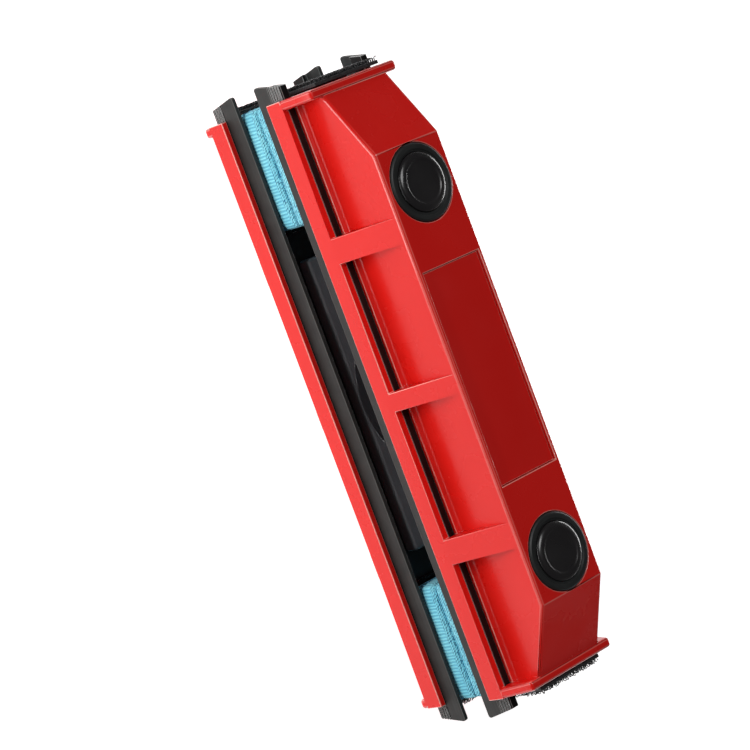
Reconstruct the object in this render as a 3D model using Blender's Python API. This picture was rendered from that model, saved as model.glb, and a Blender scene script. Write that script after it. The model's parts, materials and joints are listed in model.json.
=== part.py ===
"""Magnetic glass cleaner: two units that hold each other through a window pane.

Metres, +Z up. X runs along the cleaner, Y across it, and Z is the stacking direction:
the slim lower unit lies on its flat back, and the taller upper unit lies on it, pads on pads.
Each unit is modelled in its own frame, whose Z is the depth away from the glass: zero is the
rim edge that faces the glass, and negative depths stand out of the casing towards the glass.
"""

import math

import bmesh
import bpy
from mathutils import Matrix, Vector

MM = 0.001
GAP = 0.3 * MM                      # clearance between touching pieces

# Driving dimensions of both units
LENGTH = 240 * MM                   # outside length of a casing
WIDTH = 54.4 * MM                   # outside width of a casing
RIM_DEPTH = 8 * MM                  # depth of the rim skirt
SKIRT = 2.6 * MM                    # thickness of the outer skirt
END_WALL = 4 * MM                   # thickness of the end walls
HULL_HALF_WIDTH = 17.6 * MM         # from the centre to the side wall of the hull
HULL_FLAT_HALF = 89.3 * MM          # half length of the flat back of the hull
HULL_EDGE = 1.6 * MM                # rounding of the hull's long edges
COVE = 1.9 * MM                     # hollow rounding where the hull rises from the rim
WALL = 2.4 * MM                     # wall thickness of the hull
BACK_WALL = 3.6 * MM                # thickness of the hull's flat back
RIB_CENTRES = (-60.4 * MM, 0.0, 60.4 * MM)
RIB_WIDTHS = (10 * MM, 7.4 * MM, 10 * MM)
GLASS_REACH = 13.8 * MM             # from the rim edge to the plane where the two units meet

# What differs between the two units: hull depth, end wall depth, depth where the slope ends,
# and how much the end walls narrow past the rim, per unit of depth
UPPER = {"hull": 36.2 * MM, "end_wall": 21.2 * MM, "slope_end": 20.9 * MM, "narrowing": 0.34}
LOWER = {"hull": 20 * MM, "end_wall": 11.4 * MM, "slope_end": 10.6 * MM, "narrowing": 0.0}
SLOPE_END_X = 116.1 * MM            # where a hull's sloping end meets the end wall

# Blade and its carrier, in the channel behind the skirt
CHANNEL_IN = 7.4 * MM               # inner side of the channel, from the rim face
CHANNEL_DEPTH = 7.3 * MM
BLADE_TIP = -7 * MM                 # depth of the blade's working edge
BLADE_TIP_X = 128 * MM              # half length of the blade at its working edge
END_SLANT = 0.19                    # how much the ends lean in, per unit of depth
BLADE_THICK = 1.8 * MM
RIDGES = 4                          # along the outer side of a carrier
RIDGE_HEIGHT = 0.45 * MM

# Microfibre pads and hook tape at the two ends
PAD_X = (72.5 * MM, 120.8 * MM)
PAD_HALF_WIDTH = 21.6 * MM
TAPE_X = (71 * MM, 121.9 * MM)
TAPE_HALF_WIDTH = 17 * MM
TAPE_THICK = 1.4 * MM

# Base frame, magnet housing and what they hold
FRAME_HALF = Vector((115.4 * MM, 17.0 * MM))
FRAME_DEPTH = (0.4 * MM, 3.4 * MM)
WINDOW_HALF = Vector((56.3 * MM, 13.5 * MM))
HOUSING_HALF = Vector((60 * MM, 15.7 * MM))
HOUSING_FACE = -5.5 * MM
NECK_HALF = Vector((56 * MM, 13.2 * MM))
OVAL_HALF = Vector((25 * MM, 15.1 * MM))
OVAL_DEPTH = 3 * MM
MAGNET_X = (28 * MM, 54 * MM)
MAGNET_HALF_WIDTH = 11.4 * MM
MAGNET_DEPTH = (-3.4 * MM, 3.4 * MM)
KEEPER_HALF = Vector((59 * MM, 15.2 * MM))
KEEPER_DEPTH = (3.7 * MM, 5.7 * MM)
KEEPER_SCREWS = [(sx * 20 * MM, sy * 8 * MM) for sx in (-1, 1) for sy in (-1, 1)]

# Round caps in the back, the screws under them and their bosses
CAP_X = 73.8 * MM
RING_RADIUS = 15 * MM
RING_HOLE = 11.9 * MM
RING_THICK = 2.1 * MM
CAP_RADIUS = 11.5 * MM
CAP_HEIGHT = 3.1 * MM
SEAT_DEPTH = 1.8 * MM
PLUG_THICK = 1.1 * MM
BOSS_RADIUS = 5.6 * MM
SCREW_CLEARANCE = 2.2 * MM
SCREW_RADIUS = 1.9 * MM
SCREW_HEAD = Vector((3.8 * MM, 2.4 * MM))       # radius and height
HEAD_SINK = 3 * MM                              # counterbore under the cap
FRAME_BOSS_TOP = 8 * MM

# Blank label plate in the upper unit's back
LABEL_HALF = Vector((42 * MM, 15 * MM))
LABEL_SINK = 2.2 * MM
LABEL_THICK = 0.8 * MM

ROUND = 48                          # sides of a large round piece
SMALL_ROUND = 16                    # sides of a screw or a bore


# ---------------------------------------------------------------- scene helpers

def clear_scene():
    for item in list(bpy.data.objects):
        bpy.data.objects.remove(item, do_unlink=True)


def new_collection(name):
    group = bpy.data.collections.new(name)
    bpy.context.scene.collection.children.link(group)
    return group


def material(name, colour, roughness, metallic=0.0):
    surface = bpy.data.materials.new(name)
    surface.use_nodes = True
    shader = surface.node_tree.nodes["Principled BSDF"]
    shader.inputs["Base Color"].default_value = (*colour, 1.0)
    shader.inputs["Roughness"].default_value = roughness
    shader.inputs["Metallic"].default_value = metallic
    surface.diffuse_color = (*colour, 1.0)
    return surface


def unit_frame(name, height, turned_over):
    """An empty at the rim edge of a unit, with Z pointing away from the glass."""
    empty = bpy.data.objects.new(name, None)
    empty.location = (0.0, 0.0, height)
    empty.rotation_euler = (math.pi if turned_over else 0.0, 0.0, 0.0)
    PARTS.objects.link(empty)
    return empty


class Unit:
    """Puts pieces and guides of one unit under its empty."""

    def __init__(self, name, height, turned_over, sizes):
        self.name = name
        self.sizes = sizes
        self.empty = unit_frame(name + "_unit", height, turned_over)

    def piece(self, name, mesh, surface):
        item = bpy.data.objects.new(self.name + "_" + name, mesh)
        item.parent = self.empty
        PARTS.objects.link(item)
        mesh.materials.clear()
        mesh.materials.append(surface)
        return item

    def guide(self, name, mesh):
        item = bpy.data.objects.new(self.name + "_" + name, mesh)
        item.parent = self.empty
        item.hide_render = True
        item.display_type = "WIRE"
        CUTTERS.objects.link(item)
        return item

    def change(self, target, operation, name, meshes):
        """One exact Boolean on target for each guide mesh."""
        for number, mesh in enumerate(meshes):
            tool = self.guide(f"{name}_{number}", mesh)
            modifier = target.modifiers.new(tool.name, "BOOLEAN")
            modifier.operation = operation
            modifier.solver = "EXACT"
            modifier.object = tool


def face_outward(shape):
    bmesh.ops.recalc_face_normals(shape, faces=shape.faces)
    if shape.calc_volume(signed=True) < 0:
        bmesh.ops.reverse_faces(shape, faces=shape.faces)


def finished_mesh(name, shape):
    face_outward(shape)
    mesh = bpy.data.meshes.new(name)
    shape.to_mesh(mesh)
    shape.free()
    return mesh


def smooth(mesh, angle=40):
    mesh.shade_smooth()
    mesh.set_sharp_from_angle(angle=math.radians(angle))
    return mesh


# ---------------------------------------------------------------- basic shapes

def box_shape(low, high):
    shape = bmesh.new()
    bmesh.ops.create_cube(shape, size=1.0)
    low, high = Vector(low), Vector(high)
    bmesh.ops.scale(shape, vec=high - low, verts=shape.verts)
    bmesh.ops.translate(shape, vec=(low + high) / 2, verts=shape.verts)
    return shape


def box(low, high):
    return finished_mesh("box", box_shape(low, high))


def centred_box(half, depth):
    return box((-half[0], -half[1], depth[0]), (half[0], half[1], depth[1]))


def bevelled(shape, edges, width, segments):
    bmesh.ops.bevel(shape, geom=edges, offset=width, segments=segments, profile=0.5,
                    affect="EDGES", clamp_overlap=True)


def rounded_box(low, high, radius, segments):
    shape = box_shape(low, high)
    bevelled(shape, shape.edges[:], radius, segments)
    return smooth(finished_mesh("rounded_box", shape))


def prism_shape(outline, start, along):
    """A flat outline of 3-D points, moved to start and extruded by the vector along."""
    shape = bmesh.new()
    corners = [shape.verts.new(Vector(point) + Vector(start)) for point in outline]
    face = shape.faces.new(corners)
    grown = bmesh.ops.extrude_face_region(shape, geom=[face])
    moved = [item for item in grown["geom"] if isinstance(item, bmesh.types.BMVert)]
    bmesh.ops.translate(shape, vec=Vector(along), verts=moved)
    return shape


def cylinder(centre, radius, depth, sides=SMALL_ROUND):
    shape = bmesh.new()
    bmesh.ops.create_cone(shape, cap_ends=True, segments=sides, radius1=radius, radius2=radius,
                          depth=depth[1] - depth[0])
    bmesh.ops.translate(shape, vec=(centre[0], centre[1], (depth[0] + depth[1]) / 2),
                        verts=shape.verts)
    return smooth(finished_mesh("cylinder", shape))


def turned(profile, sides):
    """A profile of (radius, depth) points, outer side first from top to bottom, spun about Z."""
    shape = bmesh.new()
    points = [shape.verts.new((radius, 0.0, depth)) for radius, depth in profile]
    for first, second in zip(points, points[1:]):
        shape.edges.new((first, second))
    bmesh.ops.spin(shape, geom=shape.verts[:] + shape.edges[:], axis=(0, 0, 1), cent=(0, 0, 0),
                   angle=2 * math.pi, steps=sides, use_duplicate=False)
    bmesh.ops.remove_doubles(shape, verts=shape.verts, dist=0.02 * MM)
    return smooth(finished_mesh("turned", shape))


def quarter_arc(centre, radius, start, end, steps):
    """Points along an arc between two angles in degrees."""
    angles = [math.radians(start + (end - start) * step / steps) for step in range(steps + 1)]
    return [(centre[0] + radius * math.cos(angle), centre[1] + radius * math.sin(angle))
            for angle in angles]


# ---------------------------------------------------------------- casing

def slope_depth(sizes, x):
    """Depth of the sloping end of a hull at x, past the flat part of its back."""
    fall = (sizes["hull"] - sizes["slope_end"]) / (SLOPE_END_X - HULL_FLAT_HALF)
    return sizes["hull"] - fall * (x - HULL_FLAT_HALF)


def hull(sizes):
    """The long hull with its flat back and sloping ends, long edges rounded."""
    end = LENGTH / 2 - END_WALL / 2
    low = RIM_DEPTH / 2
    outline = [(-end, 0, low), (end, 0, low), (end, 0, slope_depth(sizes, end)),
               (HULL_FLAT_HALF, 0, sizes["hull"]), (-HULL_FLAT_HALF, 0, sizes["hull"]),
               (-end, 0, slope_depth(sizes, end))]
    shape = prism_shape(outline, (0, -HULL_HALF_WIDTH, 0), (0, 2 * HULL_HALF_WIDTH, 0))
    edges = [edge for edge in shape.edges
             if min(vert.co.z for vert in edge.verts) > RIM_DEPTH
             and abs(edge.verts[0].co.y - edge.verts[1].co.y) < GAP]
    bevelled(shape, edges, HULL_EDGE, 4)
    return finished_mesh("hull", shape)


def hull_cavity(sizes):
    top = sizes["hull"] - BACK_WALL
    low = RIM_DEPTH / 2
    end = LENGTH / 2 - END_WALL - WALL
    outline = [(-end, 0, low), (end, 0, low), (end, 0, slope_depth(sizes, end) - BACK_WALL),
               (HULL_FLAT_HALF, 0, top), (-HULL_FLAT_HALF, 0, top),
               (-end, 0, slope_depth(sizes, end) - BACK_WALL)]
    half = HULL_HALF_WIDTH - WALL
    return finished_mesh("hull_cavity", prism_shape(outline, (0, -half, 0), (0, 2 * half, 0)))


def end_wall(sizes, side):
    """An end wall that narrows past the rim, its corners and back edges rounded into a lip."""
    inner = LENGTH / 2 - END_WALL
    rim = WIDTH / 2
    top = sizes["end_wall"]
    narrow = rim - sizes["narrowing"] * (top - RIM_DEPTH)
    outline = [(0, -rim, 0), (0, rim, 0), (0, rim, RIM_DEPTH), (0, narrow, top),
               (0, -narrow, top), (0, -rim, RIM_DEPTH)]
    shape = prism_shape(outline, (side * inner, 0, 0), (side * END_WALL, 0, 0))
    lip = [edge for edge in shape.edges if max(vert.co.z for vert in edge.verts) > RIM_DEPTH + MM]
    face_outward(shape)
    bevelled(shape, lip, 1.3 * MM, 4)
    return finished_mesh("end_wall", shape)


def rib(sizes, centre, width, side):
    """A gusset from the rim's outer edge up to the hull's long edge."""
    rim = side * WIDTH / 2
    inside = side * (HULL_HALF_WIDTH - 1 * MM)
    top = sizes["hull"] - HULL_EDGE
    outline = [(0, rim, RIM_DEPTH / 2), (0, rim, RIM_DEPTH), (0, side * HULL_HALF_WIDTH, top),
               (0, inside, top), (0, inside, RIM_DEPTH / 2)]
    return finished_mesh("rib", prism_shape(outline, (centre - width / 2, 0, 0), (width, 0, 0)))


def cove(side):
    """The hollow rounding along the foot of the hull's side wall."""
    end = LENGTH / 2 - END_WALL / 2
    foot = HULL_HALF_WIDTH + COVE
    inside = HULL_HALF_WIDTH - 1 * MM
    low = RIM_DEPTH / 2
    outline = quarter_arc((foot, RIM_DEPTH + COVE), COVE, 180, 270, 5)
    outline += [(foot, low), (inside, low), (inside, RIM_DEPTH + COVE)]
    points = [(0, side * y, depth) for y, depth in outline]
    return finished_mesh("cove", prism_shape(points, (-end, 0, 0), (2 * end, 0, 0)))


def side_windows(side):
    """The slots through the rim between the ribs, where the blade carrier shows."""
    stops = [-LENGTH / 2 + END_WALL]
    for centre, width in zip(RIB_CENTRES, RIB_WIDTHS):
        stops += [centre - width / 2, centre + width / 2]
    stops.append(LENGTH / 2 - END_WALL)
    sides = sorted((side * (WIDTH / 2 - SKIRT - 0.4 * MM), side * (WIDTH / 2 - CHANNEL_IN)))
    return [box((stops[i], sides[0], RIM_DEPTH / 2), (stops[i + 1], sides[1], RIM_DEPTH + GAP))
            for i in range(0, len(stops), 2)]


def channel(side):
    sides = sorted((side * (WIDTH / 2 - SKIRT), side * (WIDTH / 2 - CHANNEL_IN)))
    return box((-LENGTH, sides[0], -RIM_DEPTH), (LENGTH, sides[1], CHANNEL_DEPTH))


def boss_tube(sizes, x):
    return cylinder((x, 0), BOSS_RADIUS, (FRAME_BOSS_TOP + GAP, sizes["hull"] - BACK_WALL + GAP))


def screw_well(sizes, x):
    """Counterbore and bore for the screw under a cap, as one stepped plug."""
    seat = sizes["hull"] - SEAT_DEPTH
    radius = SCREW_HEAD[0] + 0.5 * MM
    profile = [(0, seat + GAP), (radius, seat + GAP), (radius, seat - HEAD_SINK),
               (SCREW_CLEARANCE, seat - HEAD_SINK), (SCREW_CLEARANCE, RIM_DEPTH / 2),
               (0, RIM_DEPTH / 2)]
    mesh = turned(profile, SMALL_ROUND)
    mesh.transform(Matrix.Translation((x, 0, 0)))
    return mesh


def casing(unit, surface, seat_radius):
    sizes = unit.sizes
    half_width = WIDTH / 2
    slab = centred_box((LENGTH / 2, half_width), (0, RIM_DEPTH))
    body = unit.piece("casing", slab, surface)
    ribs = [rib(sizes, centre, width, side) for side in (-1, 1)
            for centre, width in zip(RIB_CENTRES, RIB_WIDTHS)]
    walls = [end_wall(sizes, side) for side in (-1, 1)]
    unit.change(body, "UNION", "casing_hull", [hull(sizes)])
    unit.change(body, "UNION", "casing_wall", walls)
    unit.change(body, "UNION", "casing_cove", [cove(-1), cove(1)])
    unit.change(body, "UNION", "casing_rib", ribs)
    pocket = box((-LENGTH / 2 + END_WALL, -HULL_HALF_WIDTH + GAP, -RIM_DEPTH),
                 (LENGTH / 2 - END_WALL, HULL_HALF_WIDTH - GAP, RIM_DEPTH))
    unit.change(body, "DIFFERENCE", "casing_pocket", [pocket])
    unit.change(body, "DIFFERENCE", "casing_cavity", [hull_cavity(sizes)])
    unit.change(body, "DIFFERENCE", "casing_channel", [channel(-1), channel(1)])
    unit.change(body, "DIFFERENCE", "casing_window", side_windows(-1) + side_windows(1))
    caps = (-CAP_X, CAP_X)
    unit.change(body, "UNION", "casing_boss", [boss_tube(sizes, x) for x in caps])
    seats = [cylinder((x, 0), seat_radius, (sizes["hull"] - SEAT_DEPTH, sizes["hull"] + SEAT_DEPTH),
                      ROUND) for x in caps]
    unit.change(body, "DIFFERENCE", "casing_seat", seats)
    unit.change(body, "DIFFERENCE", "casing_well", [screw_well(sizes, x) for x in caps])
    return body


# ---------------------------------------------------------------- blades

def end_reach(depth):
    """Half length of a blade or carrier at a depth: the ends lean in away from the glass."""
    return BLADE_TIP_X - END_SLANT * (depth - BLADE_TIP)


def strip(outline, side):
    """A cross-section of (inset from the rim face, depth) points, run along X with slanting ends."""
    shape = prism_shape([(0, inset, depth) for inset, depth in outline], (0, 0, 0), (1, 0, 0))
    for vert in shape.verts:
        reach = end_reach(vert.co.z)
        vert.co.x = reach if vert.co.x > 0.5 else -reach
        vert.co.y = side * (WIDTH / 2 - vert.co.y)
    face_outward(shape)
    return shape


def blade(unit, word, side, surface):
    outer = SKIRT + 0.4 * MM
    inner = outer + BLADE_THICK
    tongue = (outer + 1.0 * MM, inner + GAP)
    shoulder = 0.5 * MM
    root = 5.2 * MM
    outline = [(outer, BLADE_TIP), (outer, shoulder), (tongue[0], shoulder), (tongue[0], root),
               (tongue[1], root), (tongue[1], shoulder), (inner, shoulder), (inner, BLADE_TIP)]
    shape = strip(outline, side)
    corners = [edge for edge in shape.edges
               if all(vert.co.z < BLADE_TIP + GAP for vert in edge.verts)
               and abs(edge.verts[0].co.x - edge.verts[1].co.x) < GAP]
    bevelled(shape, corners, 1.4 * MM, 3)
    return unit.piece("blade_" + word, finished_mesh("blade", shape), surface)


def carrier(unit, word, side, surface):
    """Black carrier that grips the blade's tongue, with fine ridges along its outer side."""
    outer = SKIRT + GAP
    groove = (SKIRT + 1.1 * MM, SKIRT + 2.9 * MM)
    inner = CHANNEL_IN - GAP
    low, top = 0.8 * MM, 7.0 * MM
    valley = outer + RIDGE_HEIGHT
    chamfer = 0.6 * MM
    pitch = (top - chamfer - low) / RIDGES
    outline = []
    for number in range(RIDGES):
        start = low + number * pitch
        outline += [(outer, start), (outer, start + 0.45 * pitch)]
        outline += [(valley, start + 0.6 * pitch), (valley, start + 0.85 * pitch)]
    outline += [(valley, top - chamfer), (valley + chamfer, top), (inner, top), (inner, low),
                (groove[1], low), (groove[1], 5.5 * MM), (groove[0], 5.5 * MM), (groove[0], low)]
    return unit.piece("blade_carrier_" + word, finished_mesh("carrier", strip(outline, side)), surface)


# ---------------------------------------------------------------- pads and hook tape

def mirrored_x(low, high, side):
    """The two corners of a box that lies between low and high on the chosen side of X."""
    ends = sorted((side * low[0], side * high[0]))
    return (ends[0], low[1], low[2]), (ends[1], high[1], high[2])


def pad(unit, word, side, surface):
    low = (PAD_X[0], -PAD_HALF_WIDTH, -GLASS_REACH + GAP / 2)
    high = (PAD_X[1], PAD_HALF_WIDTH, -TAPE_THICK - 2 * GAP)
    return unit.piece("pad_" + word, rounded_box(*mirrored_x(low, high, side), 2.6 * MM, 3), surface)


def hook_tape(unit, word, side, surface):
    """Hook tape under the pad, folded over the rim edge and up the end wall."""
    start, end = TAPE_X
    fold = end - TAPE_THICK
    top = unit.sizes["end_wall"] - 2.6 * MM
    outline = [(start, 0, -GAP), (start, 0, -GAP - TAPE_THICK), (end, 0, -GAP - TAPE_THICK),
               (end, 0, top), (fold, 0, top), (fold, 0, -GAP)]
    outline = [(side * x, y, depth) for x, y, depth in outline]
    shape = prism_shape(outline, (0, -TAPE_HALF_WIDTH, 0), (0, 2 * TAPE_HALF_WIDTH, 0))
    return unit.piece("hook_tape_" + word, finished_mesh("hook_tape", shape), surface)


# ---------------------------------------------------------------- base frame and magnets

def base_frame(unit, surface):
    frame = unit.piece("base_frame", centred_box(FRAME_HALF, FRAME_DEPTH), surface)
    window = centred_box(WINDOW_HALF, (-RIM_DEPTH, RIM_DEPTH))
    unit.change(frame, "DIFFERENCE", "frame_window", [window])
    for x in (-CAP_X, CAP_X):
        boss = cylinder((x, 0), BOSS_RADIUS, (FRAME_DEPTH[0] + MM, FRAME_BOSS_TOP))
        bore = cylinder((x, 0), SCREW_CLEARANCE, (FRAME_DEPTH[0] + MM, FRAME_BOSS_TOP + MM))
        word = "left" if x < 0 else "right"
        unit.change(frame, "UNION", "frame_boss_" + word, [boss])
        unit.change(frame, "DIFFERENCE", "frame_bore_" + word, [bore])
    return frame


def oval_recess():
    recess = cylinder((0, 0), 1.0, (HOUSING_FACE - MM, HOUSING_FACE + OVAL_DEPTH), ROUND)
    for vert in recess.vertices:
        vert.co.x *= OVAL_HALF[0]
        vert.co.y *= OVAL_HALF[1]
    return recess


def magnet_housing(unit, surface):
    low = (-HOUSING_HALF[0], -HOUSING_HALF[1], HOUSING_FACE)
    high = (HOUSING_HALF[0], HOUSING_HALF[1], FRAME_DEPTH[0] - GAP)
    shape = box_shape(low, high)
    face_edges = [edge for edge in shape.edges if min(vert.co.z for vert in edge.verts) < MM * -5]
    bevelled(shape, face_edges, 1.4 * MM, 3)
    body = unit.piece("magnet_housing", finished_mesh("housing", shape), surface)
    neck = centred_box(NECK_HALF, (-MM, FRAME_DEPTH[1]))
    unit.change(body, "UNION", "housing_neck", [neck])
    pockets = []
    for side in (-1, 1):
        low = (MAGNET_X[0] - GAP, -MAGNET_HALF_WIDTH - GAP, MAGNET_DEPTH[0] - GAP)
        high = (MAGNET_X[1] + GAP, MAGNET_HALF_WIDTH + GAP, RIM_DEPTH)
        pockets.append(box(*mirrored_x(low, high, side)))
    bores = [cylinder(spot, 1.7 * MM, (-1.2 * MM, RIM_DEPTH)) for spot in KEEPER_SCREWS]
    unit.change(body, "DIFFERENCE", "housing_pocket", pockets)
    unit.change(body, "DIFFERENCE", "housing_bore", bores)
    unit.change(body, "DIFFERENCE", "housing_oval", [oval_recess()])
    return body


def magnets(unit, surface):
    for word, side in (("left", -1), ("right", 1)):
        low = (MAGNET_X[0], -MAGNET_HALF_WIDTH, MAGNET_DEPTH[0])
        high = (MAGNET_X[1], MAGNET_HALF_WIDTH, MAGNET_DEPTH[1])
        shape = box_shape(*mirrored_x(low, high, side))
        bevelled(shape, shape.edges[:], 0.5 * MM, 1)
        unit.piece("magnet_" + word, finished_mesh("magnet", shape), surface)


def keeper_plate(unit, surface):
    plate = unit.piece("keeper_plate", centred_box(KEEPER_HALF, KEEPER_DEPTH), surface)
    holes = [cylinder(spot, 1.7 * MM, (0, RIM_DEPTH)) for spot in KEEPER_SCREWS]
    unit.change(plate, "DIFFERENCE", "keeper_hole", holes)
    return plate


def screw(unit, name, spot, head_depth, head, shank, tip_depth, surface):
    """A pan-head screw: head above head_depth, shank down to tip_depth, cross slot in the head."""
    radius, height = head
    profile = [(0, head_depth + height), (radius * 0.7, head_depth + height),
               (radius, head_depth + height * 0.55), (radius, head_depth),
               (shank, head_depth), (shank, tip_depth + shank), (0, tip_depth)]
    item = unit.piece(name, turned(profile, SMALL_ROUND), surface)
    item.location = (spot[0], spot[1], 0)
    arm, slot = radius * 0.62, radius * 0.14
    top = head_depth + height
    bars = [box((-arm, -slot, top - height * 0.45), (arm, slot, top + MM)),
            box((-slot, -arm, top - height * 0.45), (slot, arm, top + MM))]
    for bar in bars:
        bar.transform(Matrix.Translation((spot[0], spot[1], 0)))
    unit.change(item, "DIFFERENCE", name + "_slot", bars)


def screws(unit, surface):
    for number, spot in enumerate(KEEPER_SCREWS, start=1):
        screw(unit, f"keeper_screw_{number}", spot, KEEPER_DEPTH[1] + GAP, (2.6 * MM, 1.6 * MM),
              1.4 * MM, -0.9 * MM, surface)
    floor = unit.sizes["hull"] - SEAT_DEPTH - HEAD_SINK
    for word, x in (("left", -CAP_X), ("right", CAP_X)):
        screw(unit, "casing_screw_" + word, (x, 0), floor + GAP, SCREW_HEAD, SCREW_RADIUS,
              FRAME_DEPTH[0] + MM + GAP, surface)


# ---------------------------------------------------------------- caps and label

def rings(unit, surface):
    """Flat rings that frame the caps, their outer edge chamfered."""
    seat = unit.sizes["hull"] - SEAT_DEPTH + GAP
    top = seat + RING_THICK
    profile = [(RING_HOLE, top - 0.3 * MM), (RING_HOLE + 0.3 * MM, top)]
    profile += [(RING_RADIUS - 0.7 * MM, top), (RING_RADIUS, top - 0.5 * MM), (RING_RADIUS, seat),
                (RING_HOLE, seat), (RING_HOLE, top - 0.3 * MM)]
    for word, x in (("left", -CAP_X), ("right", CAP_X)):
        item = unit.piece("ring_" + word, turned(profile, ROUND), surface)
        item.location = (x, 0, 0)


def caps(unit, surface):
    """Hollow press-in caps over the casing screws, with a flat centre and a rounded shoulder."""
    seat = unit.sizes["hull"] - SEAT_DEPTH + GAP
    top = seat + CAP_HEIGHT
    shoulder = 1.4 * MM
    flat = 8.7 * MM
    hollow = 9.6 * MM
    ceiling = seat + 1.4 * MM
    profile = [(0, top), (flat, top)]
    steps = 4
    for step in range(1, steps + 1):
        angle = math.radians(90 * step / steps)
        profile.append((flat + (CAP_RADIUS - flat) * math.sin(angle),
                        top - shoulder + shoulder * math.cos(angle)))
    profile += [(CAP_RADIUS, seat), (hollow, seat), (hollow, ceiling), (0, ceiling)]
    for word, x in (("left", -CAP_X), ("right", CAP_X)):
        item = unit.piece("cap_" + word, turned(profile, ROUND), surface)
        item.location = (x, 0, 0)


def flush_plugs(unit, surface):
    """Thin plugs over the casing screws, sunk just below the flat back."""
    seat = unit.sizes["hull"] - SEAT_DEPTH + GAP
    top = seat + PLUG_THICK
    profile = [(0, top), (CAP_RADIUS - 0.5 * MM, top), (CAP_RADIUS, top - 0.4 * MM),
               (CAP_RADIUS, seat), (0, seat)]
    for word, x in (("left", -CAP_X), ("right", CAP_X)):
        item = unit.piece("plug_" + word, turned(profile, ROUND), surface)
        item.location = (x, 0, 0)


def label_plate(unit, body, surface):
    back = unit.sizes["hull"]
    grown = (LABEL_HALF[0] + GAP, LABEL_HALF[1] + GAP)
    recess = centred_box(grown, (back - LABEL_SINK, back + LABEL_SINK))
    unit.change(body, "DIFFERENCE", "casing_label", [recess])
    floor = back - LABEL_SINK + GAP
    unit.piece("label_plate", centred_box(LABEL_HALF, (floor, floor + LABEL_THICK)), surface)


# ---------------------------------------------------------------- the whole cleaner

def shared_pieces(unit, looks):
    for word, side in (("front", -1), ("rear", 1)):
        blade(unit, word, side, looks["rubber"])
        carrier(unit, word, side, looks["carrier"])
    for word, side in (("left", -1), ("right", 1)):
        pad(unit, word, side, looks["microfibre"])
        hook_tape(unit, word, side, looks["hook"])
    base_frame(unit, looks["frame"])
    magnet_housing(unit, looks["housing"])
    magnets(unit, looks["magnet"])
    keeper_plate(unit, looks["steel"])
    screws(unit, looks["screw"])


def build():
    looks = {
        "shell": material("red_gloss_plastic", (0.76, 0.03, 0.018), 0.18),
        "rubber": material("grey_blade_rubber", (0.045, 0.045, 0.042), 0.5),
        "carrier": material("black_carrier_plastic", (0.008, 0.008, 0.008), 0.3),
        "microfibre": material("blue_microfibre", (0.11, 0.44, 0.68), 0.95),
        "hook": material("black_hook_tape", (0.006, 0.006, 0.006), 0.8),
        "frame": material("black_frame_plastic", (0.01, 0.009, 0.009), 0.5),
        "housing": material("grey_housing_plastic", (0.12, 0.118, 0.13), 0.45),
        "magnet": material("nickel_magnet", (0.62, 0.6, 0.56), 0.25, 1.0),
        "steel": material("zinc_steel", (0.55, 0.55, 0.56), 0.35, 1.0),
        "screw": material("screw_steel", (0.5, 0.5, 0.5), 0.3, 1.0),
        "ring": material("black_ring_plastic", (0.016, 0.018, 0.018), 0.45),
        "cap": material("black_cap_plastic", (0.011, 0.01, 0.011), 0.3),
        "label": material("red_label_plastic", (0.42, 0.012, 0.008), 0.3),
    }
    meeting = LOWER["hull"] + GLASS_REACH
    lower = Unit("lower", meeting - GLASS_REACH, True, LOWER)
    upper = Unit("upper", meeting + GLASS_REACH, False, UPPER)
    casing(lower, looks["shell"], CAP_RADIUS + GAP)
    shell = casing(upper, looks["shell"], RING_RADIUS + GAP)
    for unit in (lower, upper):
        shared_pieces(unit, looks)
    label_plate(upper, shell, looks["label"])
    rings(upper, looks["ring"])
    caps(upper, looks["cap"])
    flush_plugs(lower, looks["cap"])


clear_scene()
PARTS = new_collection("magnetic_glass_cleaner")
CUTTERS = new_collection("cutters")
build()
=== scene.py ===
"""Looks of the magnetic glass cleaner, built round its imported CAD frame. Metres, +Z up."""

import json
import math

import bmesh
import bpy
import numpy as np
from mathutils import Matrix, Vector


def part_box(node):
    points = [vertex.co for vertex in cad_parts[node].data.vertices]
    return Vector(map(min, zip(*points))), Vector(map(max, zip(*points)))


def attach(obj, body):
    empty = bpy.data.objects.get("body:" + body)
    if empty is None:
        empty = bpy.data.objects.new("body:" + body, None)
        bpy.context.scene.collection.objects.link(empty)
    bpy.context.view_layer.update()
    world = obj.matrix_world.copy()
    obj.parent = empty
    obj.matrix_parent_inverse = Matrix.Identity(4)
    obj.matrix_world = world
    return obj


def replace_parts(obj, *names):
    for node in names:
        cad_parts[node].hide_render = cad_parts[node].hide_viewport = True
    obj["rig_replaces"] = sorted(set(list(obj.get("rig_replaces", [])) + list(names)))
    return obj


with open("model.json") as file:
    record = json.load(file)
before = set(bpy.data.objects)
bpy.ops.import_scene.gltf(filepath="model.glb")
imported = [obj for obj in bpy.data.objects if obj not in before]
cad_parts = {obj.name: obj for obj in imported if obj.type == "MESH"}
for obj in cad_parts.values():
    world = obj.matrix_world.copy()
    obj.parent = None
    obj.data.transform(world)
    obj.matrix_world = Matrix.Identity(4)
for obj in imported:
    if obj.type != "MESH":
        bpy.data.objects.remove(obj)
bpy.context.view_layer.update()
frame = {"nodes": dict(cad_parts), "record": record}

MM = 0.001
NODES = frame["nodes"]

# Camera: a long lens that looks down along the front, rolled so that the cleaner stands on end
CAMERA_TARGET = Vector((-9.6, -10.3, 32.6)) * MM
CAMERA_AZIMUTH = 8.03
CAMERA_ELEVATION = 48.85
CAMERA_ROLL = 75.48
CAMERA_DISTANCE = 1.1917
CAMERA_LENS = 149.4

UNITS = ("upper", "lower")


# ---------------------------------------------------------------- material kit

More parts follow.
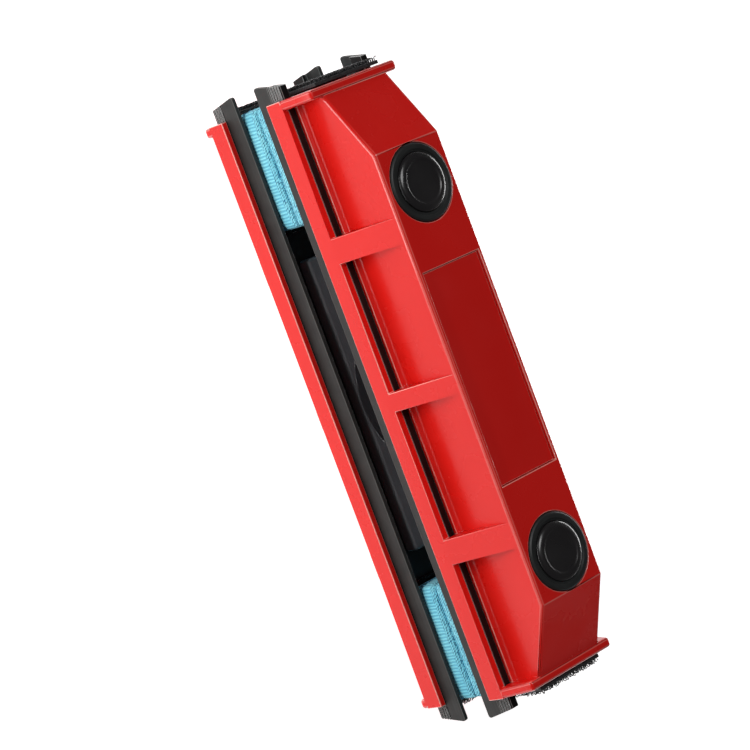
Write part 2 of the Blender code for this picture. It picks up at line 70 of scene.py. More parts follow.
class Look:
    """A Principled material whose sockets are fed by procedural nodes in object space."""

    def __init__(self, name, **sockets):
        self.material = bpy.data.materials.new(name)
        self.material.use_nodes = True
        self.tree = self.material.node_tree
        self.shader = self.tree.nodes["Principled BSDF"]
        for socket, value in sockets.items():
            self.shader.inputs[socket.replace("_", " ")].default_value = value
        self.place = self.node("ShaderNodeTexCoord").outputs["Object"]

    def node(self, kind, **settings):
        made = self.tree.nodes.new(kind)
        for key, value in settings.items():
            setattr(made, key, value)
        return made

    def feed(self, socket, value):
        if isinstance(value, bpy.types.NodeSocket):
            self.tree.links.new(value, socket)
        else:
            socket.default_value = value

    def maths(self, operation, first, second=0.0, clamp=False):
        made = self.node("ShaderNodeMath", operation=operation, use_clamp=clamp)
        self.feed(made.inputs[0], first)
        self.feed(made.inputs[1], second)
        return made.outputs[0]

    def stretched(self, scale):
        made = self.node("ShaderNodeMapping")
        self.feed(made.inputs["Vector"], self.place)
        made.inputs["Scale"].default_value = scale
        return made.outputs[0]

    def noise(self, scale, detail=2.0, vector=None):
        made = self.node("ShaderNodeTexNoise")
        self.feed(made.inputs["Vector"], vector or self.place)
        made.inputs["Scale"].default_value = scale
        made.inputs["Detail"].default_value = detail
        return made.outputs["Fac"]

    def spread(self, value, low, high, start=0.3, end=0.7):
        """A value from start to end, mapped to low to high."""
        made = self.node("ShaderNodeMapRange")
        self.feed(made.inputs["Value"], value)
        made.inputs["From Min"].default_value = start
        made.inputs["From Max"].default_value = end
        made.inputs["To Min"].default_value = low
        made.inputs["To Max"].default_value = high
        return made.outputs["Result"]

    def colours(self, factor, dark, light):
        made = self.node("ShaderNodeMix", data_type="RGBA")
        self.feed(made.inputs["Factor"], factor)
        self.feed(made.inputs[6], dark if hasattr(dark, "links") else (*dark, 1.0))
        self.feed(made.inputs[7], light if hasattr(light, "links") else (*light, 1.0))
        return made.outputs[2]

    def bump(self, height, strength, distance, under=None):
        made = self.node("ShaderNodeBump")
        self.feed(made.inputs["Height"], height)
        made.inputs["Strength"].default_value = strength
        made.inputs["Distance"].default_value = distance
        if under:
            self.feed(made.inputs["Normal"], under)
        return made.outputs["Normal"]

    def lightened(self, colour, light, amount):
        """The colour, lighter where the surface is convex: a painted highlight along the rounded edges."""
        convex = self.node("ShaderNodeNewGeometry").outputs["Pointiness"]
        return self.colours(self.spread(convex, 0.0, amount, 0.5, 0.56), colour, light)

    def finish(self, colour=None, roughness=None, normal=None):
        for name, value in (("Base Color", colour), ("Roughness", roughness), ("Normal", normal)):
            if value is not None:
                self.feed(self.shader.inputs[name], value)
        return self.material


def gloss_red(name, deep, bright, rough, edge=False):
    """Moulded ABS: faint flow marks in the colour, hazy patches in the gloss, slight orange peel."""
    look = Look(name, Coat_Roughness=0.06, Specular_IOR_Level=0.3)
    look.shader.inputs["Coat Weight"].default_value = 1.0 if edge else 0.04
    flow = look.noise(9.0, 3.0, look.stretched((0.6, 1.6, 1.6)))
    haze = look.noise(60.0, 4.0)
    peel = look.noise(420.0, 2.0)
    fine = look.noise(2600.0, 1.0)
    colour = look.colours(look.spread(flow, 0.0, 1.0), deep, bright)
    # painted highlight: with edge, the convex rounded edges are painted a lighter pinkish red
    if edge:
        colour = look.lightened(colour, (1.0, 0.42, 0.36), 0.8)
    roughness = look.spread(haze, rough * 0.8, rough * 1.25)
    under = look.bump(fine, 0.06, 0.02 * MM)
    return look.finish(colour, roughness, look.bump(peel, 0.12, 0.06 * MM, under))


def grained_plastic(name, dark, light, rough, grain=1500.0, depth=0.05, coat=0.0, shine=0.45):
    """Moulded plastic with a fine grain and faint clouds in its colour."""
    look = Look(name, Specular_IOR_Level=shine, Coat_Weight=coat, Coat_Roughness=0.12)
    speck = look.noise(grain, 3.0)
    cloud = look.noise(45.0, 3.0)
    colour = look.colours(look.spread(cloud, 0.0, 1.0), dark, light)
    roughness = look.spread(look.noise(90.0, 4.0), rough - 0.06, rough + 0.08)
    return look.finish(colour, roughness, look.bump(speck, 0.35, depth * MM))


def blade_rubber(name, dark, light, edge=False):
    """Squeegee rubber: fine streaks along the blade and a little dust."""
    look = Look(name, Specular_IOR_Level=0.25, Sheen_Weight=0.05, Sheen_Roughness=0.5)
    streak = look.noise(900.0, 3.0, look.stretched((0.04, 1.0, 1.0)))
    dust = look.noise(160.0, 5.0)
    colour = look.colours(look.spread(dust, 0.0, 1.0, 0.35, 0.75), dark, light)
    # painted highlight: with edge, the convex rounded edges of the blade are painted a lighter grey
    if edge:
        colour = look.lightened(colour, (0.16, 0.16, 0.15), 0.7)
    roughness = look.spread(streak, 0.42, 0.62)
    return look.finish(colour, roughness, look.bump(streak, 0.25, 0.05 * MM))


def metal(name, tint, rough, brushed=True):
    """Plated metal, with its grain along the cleaner where it is brushed."""
    look = Look(name, Metallic=1.0)
    grain = look.noise(700.0, 3.0, look.stretched((0.05, 1.0, 1.0) if brushed else (1.0, 1.0, 1.0)))
    darker = tuple(channel * 0.8 for channel in tint)
    colour = look.colours(look.spread(look.noise(70.0, 4.0), 0.0, 1.0), darker, tint)
    return look.finish(colour, look.spread(grain, rough - 0.08, rough + 0.1),
                       look.bump(grain, 0.2, 0.02 * MM))


KNIT_PITCH = 1.1 * MM
MEETING = (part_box("upper_pad_left")[0].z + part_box("lower_pad_left")[1].z) / 2
FACE_WRAP = 2.6 * MM            # how far below the meeting plane the ribbed side fabric starts


def microfibre(name):
    """Knitted microfibre: honeycomb rows of soft loops, and close cross ribs low on the sides."""
    look = Look(name, Sheen_Weight=0.35, Sheen_Roughness=0.35, Specular_IOR_Level=0.12)
    look.shader.inputs["Sheen Tint"].default_value = (0.70, 0.92, 1.0, 1.0)
    axes = look.node("ShaderNodeSeparateXYZ")
    look.feed(axes.inputs[0], look.place)
    facing = look.node("ShaderNodeSeparateXYZ")
    look.feed(facing.inputs[0], look.node("ShaderNodeNewGeometry").outputs["Normal"])
    on_end, on_flat = (look.maths("GREATER_THAN", look.maths("ABSOLUTE", facing.outputs[axis]), 0.72)
                       for axis in (0, 2))

    def chosen(switch, if_on, if_off):
        made = look.node("ShaderNodeMix", data_type="FLOAT")
        look.feed(made.inputs[0], switch)
        look.feed(made.inputs[2], if_off)
        look.feed(made.inputs[3], if_on)
        return made.outputs[0]

    wander = look.maths("MULTIPLY", look.maths("SUBTRACT", look.noise(180.0, 2.0), 0.5), 0.8 * MM)
    along = look.maths("ADD", chosen(on_end, axes.outputs[1], axes.outputs[0]), wander)
    across = look.maths("ADD", chosen(on_flat, axes.outputs[1], axes.outputs[2]), wander)
    row = look.maths("DIVIDE", across, KNIT_PITCH * 0.8)
    column = look.maths("DIVIDE", along, KNIT_PITCH)
    joined = look.node("ShaderNodeCombineXYZ")
    odd_rows = look.maths("MULTIPLY", row, 0.5)
    look.feed(joined.inputs[0], look.maths("ADD", column, odd_rows))
    look.feed(joined.inputs[1], row)
    cells = look.node("ShaderNodeTexVoronoi", voronoi_dimensions="2D")
    look.feed(cells.inputs["Vector"], joined.outputs[0])
    cells.inputs["Scale"].default_value = 1.0
    cells.inputs["Randomness"].default_value = 0.3
    loops = look.spread(cells.outputs["Distance"], 1.0, 0.0, 0.36, 0.64)
    wave = look.maths("SINE", look.maths("MULTIPLY", column, 2 * math.pi * 0.85))
    ribs = look.spread(wave, 0.25, 1.0, -1.0, 0.7)
    from_face = look.maths("SUBTRACT", MEETING, axes.outputs[2])
    uneven = look.maths("MULTIPLY", look.maths("SUBTRACT", look.noise(320.0, 2.0), 0.5), 1.6 * MM)
    band = look.spread(look.maths("ADD", from_face, uneven), 0.0, 1.0,
                       FACE_WRAP - 0.4 * MM, FACE_WRAP + 0.4 * MM)
    side_only = look.maths("SUBTRACT", 1.0, on_flat)
    on_gusset = look.maths("MULTIPLY", side_only, band)
    pattern = chosen(on_gusset, ribs, loops)
    fuzz = look.noise(5200.0, 3.0)
    cloud = look.noise(70.0, 3.0)
    light = look.colours(look.spread(cloud, 0.0, 1.0), (0.25, 0.76, 0.92), (0.36, 0.90, 0.99))
    gap = look.colours(on_gusset, (0.022, 0.150, 0.320), (0.090, 0.400, 0.600))
    lightened = look.maths("MULTIPLY", pattern, look.spread(fuzz, 0.75, 1.1), True)
    colour = look.colours(lightened, gap, light)
    under = look.bump(fuzz, 0.4, 0.06 * MM)
    return look.finish(colour, look.spread(fuzz, 0.85, 1.0), look.bump(pattern, 0.9, 0.30 * MM, under))


def hook_fabric(name):
    """Black twill that the hooks stand on."""
    look = Look(name, Specular_IOR_Level=0.6)
    twill = look.node("ShaderNodeTexWave", wave_type="BANDS", bands_direction="DIAGONAL")
    look.feed(twill.inputs["Vector"], look.place)
    twill.inputs["Scale"].default_value = 420.0
    twill.inputs["Distortion"].default_value = 1.5
    speck = look.noise(1600.0, 2.0)
    colour = look.colours(look.spread(speck, 0.0, 1.0), (0.003, 0.003, 0.0035), (0.014, 0.014, 0.016))
    return look.finish(colour, look.spread(speck, 0.3, 0.6), look.bump(twill.outputs["Fac"], 0.6, 0.12 * MM))


RED = ((0.70, 0.0090, 0.0060), (0.77, 0.0120, 0.0080))
LABEL_RED = ((0.66, 0.0085, 0.0056), (0.72, 0.0110, 0.0072))
BLADE_GREY = ((0.021, 0.021, 0.020), (0.031, 0.031, 0.029))
CARRIER_BLACK = ((0.004, 0.004, 0.004), (0.010, 0.010, 0.010))
# painted highlight: light grey for the rounded edges of the black carrier
CARRIER_EDGE_HIGHLIGHT = ((0.16, 0.16, 0.155), (0.24, 0.24, 0.23))
FRAME_BLACK = ((0.006, 0.005, 0.005), (0.012, 0.010, 0.010))
HOUSING_GREY = ((0.165, 0.162, 0.178), (0.205, 0.202, 0.222))
# painted highlight: lighter grey for the rounded edges of the housing
HOUSING_EDGE_HIGHLIGHT = ((0.20, 0.20, 0.215), (0.25, 0.25, 0.265))
RING_BLACK = ((0.010, 0.011, 0.011), (0.017, 0.019, 0.019))
CAP_BLACK = ((0.007, 0.006, 0.007), (0.013, 0.011, 0.012))
THREAD_BLUE = ((0.10, 0.36, 0.58), (0.16, 0.50, 0.74))
HOOK_BLACK = ((0.006, 0.006, 0.007), (0.018, 0.018, 0.02))
LOOKS = {
    "shell": gloss_red("red_casing_plastic", *RED, 0.26),
    "label": gloss_red("red_label_plastic", *LABEL_RED, 0.36),
    "rubber": blade_rubber("grey_blade_rubber", *BLADE_GREY),
    "carrier": grained_plastic("black_carrier_plastic", *CARRIER_BLACK, 0.3, 2400, 0.01, shine=0.16),
    "hook": hook_fabric("black_hook_fabric"),
    "frame": grained_plastic("black_frame_plastic", *FRAME_BLACK, 0.5),
    "housing": grained_plastic("grey_housing_plastic", *HOUSING_GREY, 0.42),
    "magnet": metal("nickel_plate", (0.66, 0.63, 0.58), 0.2, brushed=False),
    "steel": metal("zinc_sheet", (0.55, 0.56, 0.58), 0.32),
    "screw": metal("zinc_screw", (0.52, 0.52, 0.53), 0.28, brushed=False),
    "ring": grained_plastic("black_ring_plastic", *RING_BLACK, 0.42, 2200, 0.03),
    "cap": grained_plastic("black_cap_plastic", *CAP_BLACK, 0.28, 2400, 0.02, 0.5),
}
EDGE_LOOKS = {              # rounded edges: a glossier coat, and a lighter colour that is painted highlight
    "shell": gloss_red("red_casing_edge_highlight", *RED, 0.12, edge=True),
    "label": gloss_red("red_label_edge_highlight", *LABEL_RED, 0.15, edge=True),
    "rubber": blade_rubber("grey_blade_edge_highlight", *BLADE_GREY, edge=True),
    "carrier": grained_plastic("carrier_edge_highlight", *CARRIER_EDGE_HIGHLIGHT, 0.2, 900, 0.01, 1.0),
    "housing": grained_plastic("grey_housing_edge_highlight", *HOUSING_EDGE_HIGHLIGHT, 0.2, coat=1.0),
}
THREAD = grained_plastic("blue_thread", *THREAD_BLUE, 0.7, 4000, 0.03)
HOOK_PLASTIC = grained_plastic("black_hook_plastic", *HOOK_BLACK, 0.25, 3000, 0.01)
KNIT = microfibre("blue_knitted_microfibre")


# ---------------------------------------------------------------- CAD nodes that stay

WELD_REACH = 0.01 * MM
SAME_PLANE = math.radians(1.0)
ROUNDED_FROM = math.radians(20)     # edges that turn by more than this are rounded
EDGE_WIDTHS = {"shell": 0.32 * MM, "label": 0.2 * MM, "rubber": 0.25 * MM, "carrier": 0.16 * MM,
               "hook": 0.2 * MM, "frame": 0.3 * MM, "housing": 0.3 * MM, "magnet": 0.2 * MM,
               "steel": 0.2 * MM, "screw": 0.12 * MM, "ring": 0.2 * MM, "cap": 0.2 * MM}


def box_keeper(node):
    """Keeps the rounding's mitres inside the node's own box, where thin ledges meet at a point."""
    item = NODES[node]
    corners = [item.matrix_world.inverted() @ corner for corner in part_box(node)]
    low = [min(corner[axis] for corner in corners) for axis in range(3)]
    high = [max(corner[axis] for corner in corners) for axis in range(3)]
    tree = bpy.data.node_groups.new(f"{node}_box", "GeometryNodeTree")
    tree.interface.new_socket("Geometry", in_out="INPUT", socket_type="NodeSocketGeometry")
    tree.interface.new_socket("Geometry", in_out="OUTPUT", socket_type="NodeSocketGeometry")
    entry, leave = tree.nodes.new("NodeGroupInput"), tree.nodes.new("NodeGroupOutput")
    mover = tree.nodes.new("GeometryNodeSetPosition")
    above = tree.nodes.new("ShaderNodeVectorMath")
    above.operation = "MAXIMUM"
    above.inputs[1].default_value = low
    below = tree.nodes.new("ShaderNodeVectorMath")
    below.operation = "MINIMUM"
    below.inputs[1].default_value = high
    tree.links.new(tree.nodes.new("GeometryNodeInputPosition").outputs[0], above.inputs[0])
    tree.links.new(above.outputs[0], below.inputs[0])
    tree.links.new(below.outputs[0], mover.inputs["Position"])
    tree.links.new(entry.outputs[0], mover.inputs["Geometry"])
    tree.links.new(mover.outputs[0], leave.inputs[0])
    return tree


def refine(node, slot):
    """Joins the facets of flat faces, rounds the edges between them and shades the flat faces flat."""
    item = NODES[node]
    item.data.shade_smooth()
    weld = item.modifiers.new("weld", "WELD")
    weld.merge_threshold = WELD_REACH
    flat = item.modifiers.new("flat_faces", "DECIMATE")
    flat.decimate_type = "DISSOLVE"
    flat.angle_limit = SAME_PLANE
    rounding = item.modifiers.new("rounding", "BEVEL")
    rounding.width = EDGE_WIDTHS[slot]
    rounding.segments = 3
    rounding.limit_method = "ANGLE"
    rounding.angle_limit = ROUNDED_FROM
    rounding.use_clamp_overlap = False
    if slot in EDGE_LOOKS:
        # the rounded edges take the edge look, whose lighter colour is painted highlight
        rounding.material = 1
    kept_in = item.modifiers.new("kept_in_box", "NODES")
    kept_in.node_group = box_keeper(node)
    shading = item.modifiers.new("flat_shading", "WEIGHTED_NORMAL")
    shading.keep_sharp = True


REPLACED = ("upper_pad", "lower_pad", "upper_ring", "upper_cap")
slots = {entry["node"]: entry["material_slot"] for entry in frame["record"]["subparts"]}
for node, slot in slots.items():
    if node.startswith(REPLACED):
        continue
    surfaces = NODES[node].data.materials
    surfaces.clear()
    surfaces.append(LOOKS[slot])
    if slot in EDGE_LOOKS:
        surfaces.append(EDGE_LOOKS[slot])
    refine(node, slot)


# ---------------------------------------------------------------- new pieces

def piece(name, mesh, surface, body):
    item = bpy.data.objects.new(name, mesh)
    bpy.context.scene.collection.objects.link(item)
    mesh.materials.clear()
    mesh.materials.append(surface)
    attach(item, body)
    return item


def mesh_of(name, points, faces):
    mesh = bpy.data.meshes.new(name)
    mesh.from_pydata([tuple(point) for point in points], [], [tuple(face) for face in faces])
    mesh.shade_smooth()
    return mesh


def outward(unit):
    """World direction away from the glass: up for the upper unit, down for the lower."""
    return 1.0 if unit == "upper" else -1.0


# ---------------------------------------------------------------- microfibre pads

SWELL = 0.9 * MM                # how far the filled fabric stands out of its sewn shape, at most
CONTACT_ROUNDING = 0.35 * MM
CORNER_ROUNDING = 2.4 * MM
PAD_VOXEL = 0.9 * MM
FILL_FRAMES = 20
FILL_PRESSURE = 4.0
BACKING_BAND = 0.8 * MM         # how near its backing the fabric is held there
SIDE_FROM = (19 * MM, 17 * MM)  # in x or y past this from the middle, the fabric is a side
WEAR_DEPTH = 2.5 * MM           # how deep the unevenness of the rubbing face reaches
WEAR_HEIGHT = 0.09 * MM
SEAM_DEPTH = 3.4 * MM           # from the backing to the seam round the pad
SEAM_WIDTH = 0.8 * MM
SEAM_PINCH = 0.55 * MM
STITCH_PITCH = 2.3 * MM
STITCH_RADIUS = 0.24 * MM
STITCH_REACH = 0.8 * MM         # above and below the seam
STITCH_SLANT = 0.35 * MM
STITCH_BOW = 0.32 * MM
STITCH_SINK = 0.18 * MM


def sewn_shape(node):
    """The pad's cut shape: upright corners well rounded, the other edges a little."""
    low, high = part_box(node)
    inset = Vector((0.5 * SWELL, 0.2 * SWELL, 0.0))
    low, high = low + inset, high - inset
    shape = bmesh.new()
    bmesh.ops.create_cube(shape, size=1.0)
    bmesh.ops.scale(shape, vec=high - low, verts=shape.verts)
    bmesh.ops.translate(shape, vec=(low + high) / 2, verts=shape.verts)
    upright = [edge for edge in shape.edges
               if abs(edge.verts[0].co.z - edge.verts[1].co.z) > (high.z - low.z) / 2]
    bmesh.ops.bevel(shape, geom=upright, offset=CORNER_ROUNDING, segments=7, profile=0.5, affect="EDGES")
    around = [edge for edge in shape.edges if edge.calc_face_angle(0.0) > math.radians(60)]
    bmesh.ops.bevel(shape, geom=around, offset=CONTACT_ROUNDING, segments=4, profile=0.5, affect="EDGES")
    mesh = bpy.data.meshes.new(node + "_knit")
    shape.to_mesh(mesh)
    shape.free()
    return mesh


def evaluated_mesh(item):
    graph = bpy.context.evaluated_depsgraph_get()
    return bpy.data.meshes.new_from_object(item.evaluated_get(graph))


def swap_mesh(item, mesh):
    item.modifiers.clear()
    item.data = mesh


def remeshed(item):
    remesh = item.modifiers.new("fine_quads", "REMESH")
    remesh.mode = "VOXEL"
    remesh.voxel_size = PAD_VOXEL
    soften = item.modifiers.new("soften", "SMOOTH")
    soften.factor = 0.5
    soften.iterations = 1
    swap_mesh(item, evaluated_mesh(item))


def filled(item, backing, contact):
    """Blows the fabric up from inside, pinned on its backing, and caps how far it moves."""
    rest = np.array([tuple(vert.co) for vert in item.data.vertices])
    pinned = item.vertex_groups.new(name="backing")
    held = [number for number, point in enumerate(rest) if abs(point[2] - backing) < BACKING_BAND]
    pinned.add(held, 1.0, "REPLACE")
    cloth = item.modifiers.new("fill", "CLOTH")
    cloth.settings.use_pressure = True
    cloth.settings.uniform_pressure_force = FILL_PRESSURE
    cloth.settings.effector_weights.gravity = 0.0
    cloth.settings.vertex_group_mass = "backing"
    cloth.settings.quality = 6
    for step in range(1, FILL_FRAMES + 1):
        bpy.context.scene.frame_set(step)
    swollen = evaluated_mesh(item)
    moved = np.array([tuple(vert.co) for vert in swollen.vertices]) - rest
    length = np.linalg.norm(moved, axis=1, keepdims=True)
    limit = SWELL * length / (length + 0.5 * SWELL + 1e-9)
    placed = rest + moved * limit / np.maximum(length, 1e-9)
    placed[:, 2] = np.clip(placed[:, 2], min(backing, contact), max(backing, contact))
    for vert, point in zip(swollen.vertices, placed):
        vert.co = point
    item.vertex_groups.clear()
    swap_mesh(item, swollen)
    bpy.context.scene.frame_set(1)


def pinched(item, centre, seam):
    """Draws the fabric in along the seam that runs round the pad."""
    for vert in item.data.vertices:
        out_x, out_y = vert.co.x - centre.x, vert.co.y - centre.y
        if abs(out_x) > SIDE_FROM[0] or abs(out_y) > SIDE_FROM[1]:
            share = math.exp(-((vert.co.z - seam) / SEAM_WIDTH) ** 2)
            inwards = Vector((math.copysign(1.0, out_x), math.copysign(1.0, out_y), 0.0))
            vert.co -= inwards * SEAM_PINCH * share


def rubbed_flat(item, contact, sense):
    """Small unevenness of the rubbing face, so that the fabric isn't a plane."""
    for vert in item.data.vertices:
        wave = math.sin(vert.co.x * 310.0 + 1.3) * math.sin(vert.co.y * 270.0 + vert.co.x * 90.0)
        near = max(0.0, 1.0 - abs(vert.co.z - contact) / WEAR_DEPTH)
        vert.co.z -= sense * WEAR_HEIGHT * (wave + 1.6) * near


def stitch(start, end, outwards):
    """One stitch as a thin bowed tube between two points on the fabric."""
    rings, sides = 6, 6
    along = (end - start).normalized()
    sideways = along.cross(outwards).normalized()
    points = []
    for ring in range(rings + 1):
        share = ring / rings
        bow = math.sin(math.pi * share)
        centre = start.lerp(end, share) + outwards * (STITCH_BOW * bow - STITCH_SINK)
        for side in range(sides):
            angle = 2 * math.pi * side / sides
            points.append(centre + (sideways * math.cos(angle) + outwards * math.sin(angle)) * STITCH_RADIUS)
    faces = [(ring * sides + side, ring * sides + (side + 1) % sides,
              (ring + 1) * sides + (side + 1) % sides, (ring + 1) * sides + side)
             for ring in range(rings) for side in range(sides)]
    faces.append(tuple(range(sides))[::-1])
    faces.append(tuple(rings * sides + side for side in range(sides)))
    return points, faces


def stitches(pad, centre, seam):
    """Slanting overlock stitches along the seam, laid on the filled fabric."""
    low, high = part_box(pad["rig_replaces"][0])
    half_x, half_y = (high.x - low.x) / 2, (high.y - low.y) / 2
    count = int(4 * (half_x + half_y) / STITCH_PITCH)
    points, faces = [], []
    for number in range(count):
        angle = 2 * math.pi * number / count
        ray = Vector((math.cos(angle), math.sin(angle), 0.0))
        reach = min(half_x / max(abs(ray.x), 1e-6), half_y / max(abs(ray.y), 1e-6))
        ends = []
        for turn in (-1, 1):
            spot = Vector((centre.x, centre.y, seam + turn * STITCH_REACH)) + ray * reach
            spot += ray.cross(Vector((0, 0, 1))) * turn * STITCH_SLANT
            _, place, normal, _ = pad.closest_point_on_mesh(spot)
            ends.append((place, normal))
        outwards = (ends[0][1] + ends[1][1]).normalized()
        new_points, new_faces = stitch(ends[0][0], ends[1][0], outwards)
        offset = len(points)
        points += new_points
        faces += [tuple(corner + offset for corner in face) for face in new_faces]
    return mesh_of(pad.name + "_seam", points, faces)


def microfibre_pad(unit, word):
    """A filled pad with its seam, and the stitches along that seam."""
    node = f"{unit}_pad_{word}"
    low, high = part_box(node)
    centre = (low + high) / 2
    sense = outward(unit)
    backing, contact = (high.z, low.z) if sense > 0 else (low.z, high.z)
    seam = backing - sense * SEAM_DEPTH
    pad = piece(f"{unit}_microfibre_pad_{word}", sewn_shape(node), KNIT, f"{unit}_{word}_pad")
    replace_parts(pad, node)
    remeshed(pad)
    filled(pad, backing, contact)
    pinched(pad, centre, seam)
    rubbed_flat(pad, contact, sense)
    pad.data.shade_smooth()
    piece(f"{unit}_pad_stitching_{word}", stitches(pad, centre, seam), THREAD,
          f"{unit}_{word}_pad")
    finer = pad.modifiers.new("finer", "SUBSURF")
    finer.levels = finer.render_levels = 1


for unit in UNITS:
    for word in ("left", "right"):
        microfibre_pad(unit, word)


# ---------------------------------------------------------------- hooks of the hook tape

HOOK_HEIGHT = 1.3 * MM
HOOK_RADIUS = 0.16 * MM
HOOK_PITCH = 1.05 * MM
HOOK_LINE = [(0.0, 0.0), (0.0, 0.35), (0.05, 0.65), (0.22, 0.9), (0.45, 0.95), (0.6, 0.75)]
HOOK_SIDES = 5
rng = np.random.default_rng(11)


def hook_template():
    """A stiff loop cut open: a stem that bends over, as rings of points along its middle line."""
    line, sides = HOOK_LINE, HOOK_SIDES
    points = []
    for number, (lean, height) in enumerate(line):
        before, after = line[max(number - 1, 0)], line[min(number + 1, len(line) - 1)]
        slope = math.atan2(after[1] - before[1], after[0] - before[0])
        for side in range(sides):
            angle = 2 * math.pi * side / sides
            out = math.cos(angle) * HOOK_RADIUS
            points.append((lean * HOOK_HEIGHT - math.sin(slope) * out, math.sin(angle) * HOOK_RADIUS,
                           height * HOOK_HEIGHT + math.cos(slope) * out))
    faces = [(ring * sides + side, ring * sides + (side + 1) % sides,
              (ring + 1) * sides + (side + 1) % sides, (ring + 1) * sides + side)
             for ring in range(len(line) - 1) for side in range(sides)]
    faces.append(tuple(len(points) - sides + side for side in range(sides)))
    return np.array(points), faces


def hook_field(name, corner, first, second, out):
    """Rows of hooks over the rectangle that two edge vectors span from a corner."""
    template, template_faces = hook_template()
    corner, first, second, out = (np.array(tuple(item)) for item in (corner, first, second, out))
    columns = int(np.linalg.norm(first) / HOOK_PITCH)
    rows = int(np.linalg.norm(second) / HOOK_PITCH)
    points, faces = [], []
    across = first / np.linalg.norm(first)
    for row in range(rows):
        for column in range(columns):
            jitter = rng.uniform(-0.22, 0.22, 2)
            u = (column + 0.5 + 0.25 * (row % 2) + jitter[0]) / (columns + 0.5)
            v = (row + 0.5 + jitter[1]) / rows
            turn = rng.uniform(-0.9, 0.9) + (math.pi if row % 2 else 0.0)
            size = rng.uniform(0.8, 1.25)
            lean = across * math.cos(turn) + np.cross(out, across) * math.sin(turn)
            side = np.cross(out, lean)
            base = corner + first * u + second * v
            local = template * size
            moved = base + local[:, :1] * lean + local[:, 1:2] * side + local[:, 2:] * out
            offset = len(points)
            points.extend(moved)
            faces.extend(tuple(index + offset for index in face) for face in template_faces)
    return mesh_of(name, points, faces)


def hooks(unit, word):
    """Hooks on the folded end of the tape and on the face that holds the pad."""
    low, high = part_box(f"{unit}_hook_tape_{word}")
    side = 1.0 if word == "right" else -1.0
    end = high.x if word == "right" else low.x
    face = low.z if unit == "upper" else high.z
    width = Vector((0.0, high.y - low.y, 0.0))
    name = f"{unit}_hooks_{word}"
    fields = {
        "end": ((end, low.y, low.z), width, (0.0, 0.0, high.z - low.z), (side, 0.0, 0.0)),
        "face": ((low.x, low.y, face), width, (high.x - low.x, 0.0, 0.0), (0.0, 0.0, -outward(unit))),
    }
    for part, field in fields.items():
        mesh = hook_field(f"{name}_{part}", *field)
        piece(f"{name}_{part}", mesh, HOOK_PLASTIC, f"{unit}_unit")


for unit in UNITS:
    for word in ("left", "right"):
        hooks(unit, word)


# ---------------------------------------------------------------- caps and their rings

ROUND_STEPS = 144
SHARP_FROM = math.radians(35)
RING_WIDTH = 3.4 * MM
RING_STEP = 0.7 * MM            # from the hole to the step in the ring's face
SHOULDER_WIDTH = 2.6 * MM
SHOULDER_DROP = 1.5 * MM
SHOULDER_STEPS = 12


def turned_piece(name, node, profile, slot):
    """A (radius, height) profile spun about the middle of a CAD node's box, in place of that node."""
    low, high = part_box(node)
    middle = (low + high) / 2
    shape = bmesh.new()
    points = [shape.verts.new((radius, 0.0, height)) for radius, height in profile]
    for first, second in zip(points, points[1:]):
        shape.edges.new((first, second))
    bmesh.ops.spin(shape, geom=shape.verts[:] + shape.edges[:], axis=(0, 0, 1), cent=(0, 0, 0),
                   angle=2 * math.pi, steps=ROUND_STEPS, use_duplicate=False)
    bmesh.ops.remove_doubles(shape, verts=shape.verts, dist=0.01 * MM)
    bmesh.ops.recalc_face_normals(shape, faces=shape.faces)
    bmesh.ops.translate(shape, vec=(middle.x, middle.y, low.z), verts=shape.verts)
    mesh = bpy.data.meshes.new(name)
    shape.to_mesh(mesh)
    shape.free()
    mesh.shade_smooth()
    mesh.set_sharp_from_angle(angle=SHARP_FROM)
    item = piece(name, mesh, LOOKS[slot], "upper_unit")
    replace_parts(item, node)


def rounded(corners, radius, steps=5):
    """An open outline with its inner corners rounded off, as a quadratic curve through each."""
    points = [Vector(corners[0])]
    for before, corner, after in zip(corners, corners[1:], corners[2:]):
        before, corner, after = Vector(before), Vector(corner), Vector(after)
        cut = min(radius, (corner - before).length * 0.49, (after - corner).length * 0.49)
        start = corner + (before - corner).normalized() * cut
        end = corner + (after - corner).normalized() * cut
        for step in range(steps + 1):
            share = step / steps
            points.append(start.lerp(corner, share).lerp(corner.lerp(end, share), share))
    points.append(Vector(corners[-1]))
    return points


def ring_profile(node):
    """Flat ring with a shallow step where its face meets the cap."""
    low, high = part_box(node)
    outer, thick = (high.x - low.x) / 2, high.z - low.z
    hole = outer - RING_WIDTH
    step = hole + RING_STEP
    return rounded([(outer - 1.0 * MM, 0.0), (outer, 0.0), (outer, thick - 0.5 * MM),
                    (outer - 0.7 * MM, thick), (step + 0.2 * MM, thick), (step, thick - 0.35 * MM),
                    (hole, thick - 0.4 * MM), (hole, 0.0), (outer - 1.0 * MM, 0.0)], 0.2 * MM)


def cap_profile(node):
    """Low dome: a slightly dished centre, a raised rim round it and a round shoulder."""
    low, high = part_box(node)
    outer, thick = (high.x - low.x) / 2, high.z - low.z
    turns = [math.pi / 2 * step / SHOULDER_STEPS for step in range(SHOULDER_STEPS, -1, -1)]
    shoulder = [(outer - SHOULDER_WIDTH * (1 - math.sin(turn)), thick - SHOULDER_DROP * (1 - math.cos(turn)))
                for turn in turns]
    centre = [(outer - 3.0 * MM, thick - 0.05 * MM), (outer - 3.3 * MM, thick - 0.28 * MM),
              (outer - 3.9 * MM, thick - 0.32 * MM), (0.0, thick - 0.22 * MM)]
    return [(0.0, 0.0), (outer, 0.0)] + shoulder + centre


for word in ("left", "right"):
    ring, cap = f"upper_ring_{word}", f"upper_cap_{word}"
    turned_piece(f"upper_cap_ring_{word}", ring, ring_profile(ring), "ring")
    turned_piece(f"upper_round_cap_{word}", cap, cap_profile(cap), "cap")


# ---------------------------------------------------------------- floor, lights and camera

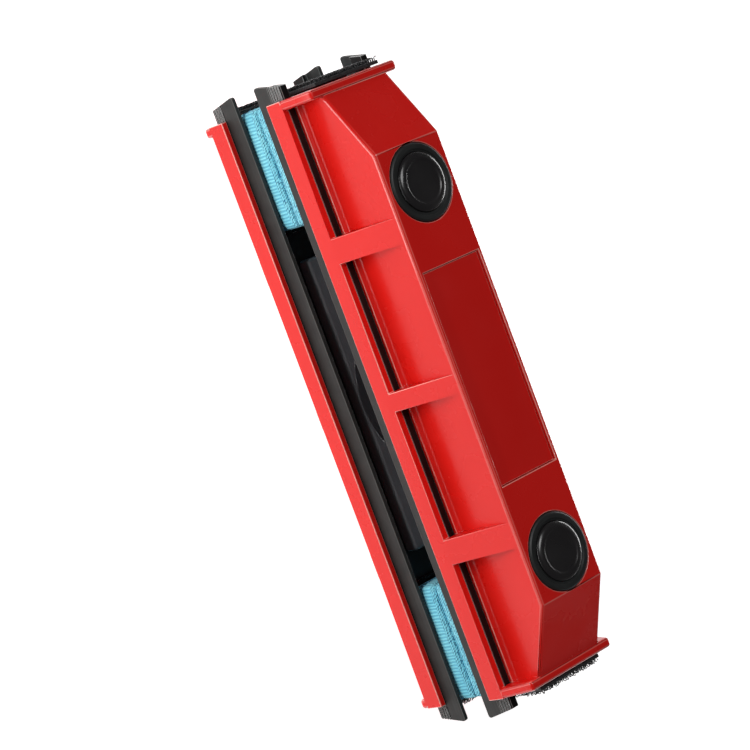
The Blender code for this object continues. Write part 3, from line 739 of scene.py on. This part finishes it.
def floor():
    """A wide pale sheet just under the cleaner, which glows a little so that it stays white."""
    bpy.ops.mesh.primitive_plane_add(size=FLOOR_SIZE, location=(0, 0, -FLOOR_GAP))
    item = bpy.context.object
    item.name = "studio_floor"
    look = Look("pale_floor", Specular_IOR_Level=0.2)
    look.shader.inputs["Emission Color"].default_value = (1.0, 1.0, 1.0, 1.0)
    look.shader.inputs["Emission Strength"].default_value = FLOOR_GLOW
    speck = look.noise(30.0, 3.0)
    item.data.materials.append(look.finish(look.colours(speck, (0.90, 0.90, 0.90), (0.93, 0.93, 0.93)),
                                           look.spread(speck, 0.7, 0.8)))


LIGHTS = {                  # place, size and power
    "key_low": ((-0.13, -0.30, 0.05), (0.22, 0.09), 0.24),
    "back_low": ((0.00, 0.90, 0.09), (0.60, 0.10), 2.0),
    "key_strip": ((-0.08, -0.50, 0.16), (0.80, 0.025), 0.56),
    "front_far": ((-0.50, -1.20, 0.45), (1.00, 0.40), 0.8),
    "top_soft": ((-0.50, -0.15, 1.30), (0.70, 0.60), 6.6),
}
LIT_SPOT = Vector((0.0, 0.0, 0.05))
WORLD_STRENGTH = 0.08
FLOOR_SIZE = 16.0
FLOOR_GAP = 0.2 * MM
FLOOR_GLOW = 0.90


def area_light(name, spot, size, power):
    lamp = bpy.data.lights.new(name, "AREA")
    lamp.shape = "RECTANGLE"
    lamp.size, lamp.size_y = size
    lamp.energy = power
    item = bpy.data.objects.new(name, lamp)
    item.location = spot
    aim = LIT_SPOT - item.location
    item.rotation_euler = aim.to_track_quat("-Z", "Y").to_euler()
    item.visible_camera = False
    bpy.context.scene.collection.objects.link(item)


def lights():
    for name, settings in LIGHTS.items():
        area_light(name, *settings)
    world = bpy.data.worlds.new("studio")
    bpy.context.scene.world = world
    world.use_nodes = True
    back = world.node_tree.nodes["Background"]
    back.inputs["Color"].default_value = (1.0, 1.0, 1.0, 1.0)
    back.inputs["Strength"].default_value = WORLD_STRENGTH


def camera():
    heading, tilt, roll = (math.radians(angle) for angle in (CAMERA_AZIMUTH, CAMERA_ELEVATION, CAMERA_ROLL))
    forward = Vector((math.sin(heading) * math.cos(tilt), math.cos(heading) * math.cos(tilt), -math.sin(tilt)))
    level = Vector((math.cos(heading), -math.sin(heading), 0.0))
    upright = level.cross(forward)
    right = level * math.cos(roll) + upright * math.sin(roll)
    up = upright * math.cos(roll) - level * math.sin(roll)
    data = bpy.data.cameras.new("studio_camera")
    data.lens = CAMERA_LENS
    data.clip_start, data.clip_end = 0.05, 20.0
    item = bpy.data.objects.new("studio_camera", data)
    turn = Matrix((right, up, -forward)).transposed()
    item.matrix_world = Matrix.Translation(CAMERA_TARGET - forward * CAMERA_DISTANCE) @ turn.to_4x4()
    bpy.context.scene.collection.objects.link(item)
    bpy.context.scene.camera = item


floor()
lights()
camera()
bpy.context.scene.view_settings.view_transform = "Standard"
